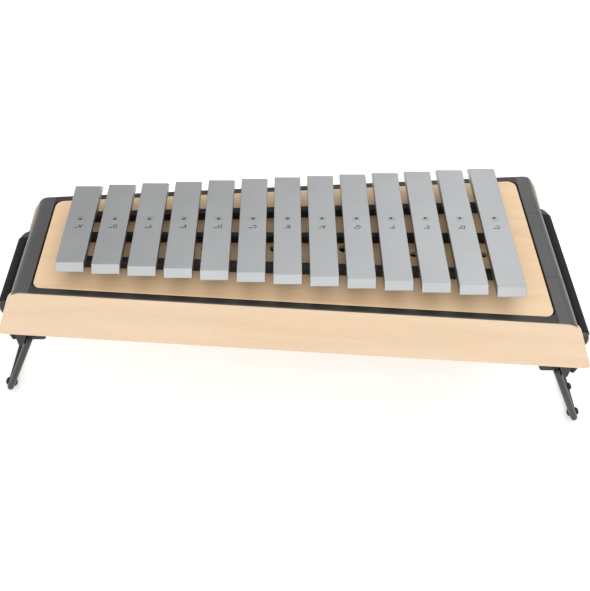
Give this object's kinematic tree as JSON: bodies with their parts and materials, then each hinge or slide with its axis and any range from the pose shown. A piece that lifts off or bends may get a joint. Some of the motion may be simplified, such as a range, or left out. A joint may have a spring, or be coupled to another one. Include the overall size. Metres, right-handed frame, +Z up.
{
  "type": "metallophone",
  "caption": "Diatonic metallophone with bevelled aluminium bars on a tapered wooden resonator, side handles and folding legs.",
  "frame": {"origin": "on the ground under the middle of the instrument, standing on its unfolded legs", "axes": "+X towards the bass end, +Y towards the player, +Z up"},
  "size_m": [0.7082, 0.2424, 0.225],
  "materials": {
    "bar_aluminium": "satin",
    "panel_wood": "satin",
    "soundboard_wood": "satin",
    "inner_wood": "matte",
    "cap_plastic": "satin",
    "rail_plastic": "matte",
    "block_plastic": "satin",
    "tube_lacquer": "gloss",
    "leg_lacquer": "satin",
    "grip_rubber": "matte",
    "foot_rubber": "matte",
    "pin_steel": "satin"
  },
  "bodies": {
    "case": {"front_panel": "panel_wood", "rear_panel": "panel_wood", "soundboard": "soundboard_wood", "bottom_board": "inner_wood", "end_board_treble": "inner_wood", "end_board_bass": "inner_wood", "chamber_divider_1": "inner_wood", "chamber_divider_2": "inner_wood", "chamber_divider_3": "inner_wood", "end_cap_treble": "cap_plastic", "end_cap_bass_front": "cap_plastic", "end_cap_bass_middle": "cap_plastic", "end_cap_bass_rear": "cap_plastic", "top_frame": "cap_plastic", "support_rail_front": "rail_plastic", "support_rail_rear": "rail_plastic", "centre_strip": "rail_plastic", "hinge_block_treble_front": "block_plastic", "hinge_pin_treble_front": "pin_steel", "handle_bolt_treble_front": "pin_steel", "cone_foot_treble_front": "foot_rubber", "hinge_block_treble_rear": "block_plastic", "hinge_pin_treble_rear": "pin_steel", "handle_bolt_treble_rear": "pin_steel", "cone_foot_treble_rear": "foot_rubber", "hinge_block_bass_front": "block_plastic", "hinge_pin_bass_front": "pin_steel", "handle_bolt_bass_front": "pin_steel", "cone_foot_bass_front": "foot_rubber", "hinge_block_bass_rear": "block_plastic", "hinge_pin_bass_rear": "pin_steel", "handle_bolt_bass_rear": "pin_steel", "cone_foot_bass_rear": "foot_rubber", "handle_tube_treble": "tube_lacquer", "handle_grip_treble": "grip_rubber", "handle_tube_bass": "tube_lacquer", "handle_grip_bass": "grip_rubber"},
    "bar_01": {"tone_bar_01_c": "bar_aluminium"},
    "bar_02": {"tone_bar_02_d": "bar_aluminium"},
    "bar_03": {"tone_bar_03_e": "bar_aluminium"},
    "bar_04": {"tone_bar_04_f": "bar_aluminium"},
    "bar_05": {"tone_bar_05_g": "bar_aluminium"},
    "bar_06": {"tone_bar_06_a": "bar_aluminium"},
    "bar_07": {"tone_bar_07_b": "bar_aluminium"},
    "bar_08": {"tone_bar_08_c": "bar_aluminium"},
    "bar_09": {"tone_bar_09_d": "bar_aluminium"},
    "bar_10": {"tone_bar_10_e": "bar_aluminium"},
    "bar_11": {"tone_bar_11_f": "bar_aluminium"},
    "bar_12": {"tone_bar_12_g": "bar_aluminium"},
    "bar_13": {"tone_bar_13_a": "bar_aluminium"},
    "leg_treble": {"leg_frame_treble": "leg_lacquer", "foot_ring_treble_1": "foot_rubber", "foot_ring_treble_2": "foot_rubber"},
    "leg_bass": {"leg_frame_bass": "leg_lacquer", "foot_ring_bass_1": "foot_rubber", "foot_ring_bass_2": "foot_rubber", "foot_ring_bass_3": "foot_rubber", "foot_ring_bass_4": "foot_rubber"}
  },
  "joints": [
    {"name": "lift_bar_01", "type": "slide", "parent": "case", "child": "bar_01", "axis": [0, 0, 1], "range_m": [0, 0.05]},
    {"name": "lift_bar_02", "type": "slide", "parent": "case", "child": "bar_02", "axis": [0, 0, 1], "range_m": [0, 0.05]},
    {"name": "lift_bar_03", "type": "slide", "parent": "case", "child": "bar_03", "axis": [0, 0, 1], "range_m": [0, 0.05]},
    {"name": "lift_bar_04", "type": "slide", "parent": "case", "child": "bar_04", "axis": [0, 0, 1], "range_m": [0, 0.05]},
    {"name": "lift_bar_05", "type": "slide", "parent": "case", "child": "bar_05", "axis": [0, 0, 1], "range_m": [0, 0.05]},
    {"name": "lift_bar_06", "type": "slide", "parent": "case", "child": "bar_06", "axis": [0, 0, 1], "range_m": [0, 0.05]},
    {"name": "lift_bar_07", "type": "slide", "parent": "case", "child": "bar_07", "axis": [0, 0, 1], "range_m": [0, 0.05]},
    {"name": "lift_bar_08", "type": "slide", "parent": "case", "child": "bar_08", "axis": [0, 0, 1], "range_m": [0, 0.05]},
    {"name": "lift_bar_09", "type": "slide", "parent": "case", "child": "bar_09", "axis": [0, 0, 1], "range_m": [0, 0.05]},
    {"name": "lift_bar_10", "type": "slide", "parent": "case", "child": "bar_10", "axis": [0, 0, 1], "range_m": [0, 0.05]},
    {"name": "lift_bar_11", "type": "slide", "parent": "case", "child": "bar_11", "axis": [0, 0, 1], "range_m": [0, 0.05]},
    {"name": "lift_bar_12", "type": "slide", "parent": "case", "child": "bar_12", "axis": [0, 0, 1], "range_m": [0, 0.05]},
    {"name": "lift_bar_13", "type": "slide", "parent": "case", "child": "bar_13", "axis": [0, 0, 1], "range_m": [0, 0.05]},
    {"name": "fold_leg_treble", "type": "hinge", "parent": "case", "child": "leg_treble", "pos_m": [-0.298, 0, 0.10999], "axis": [0, -1, 0], "range_deg": [0, 115.5]},
    {"name": "fold_leg_bass", "type": "hinge", "parent": "case", "child": "leg_bass", "pos_m": [0.298, 0, 0.10999], "axis": [0, 1, 0], "range_deg": [0, 115.5]}
  ]
}
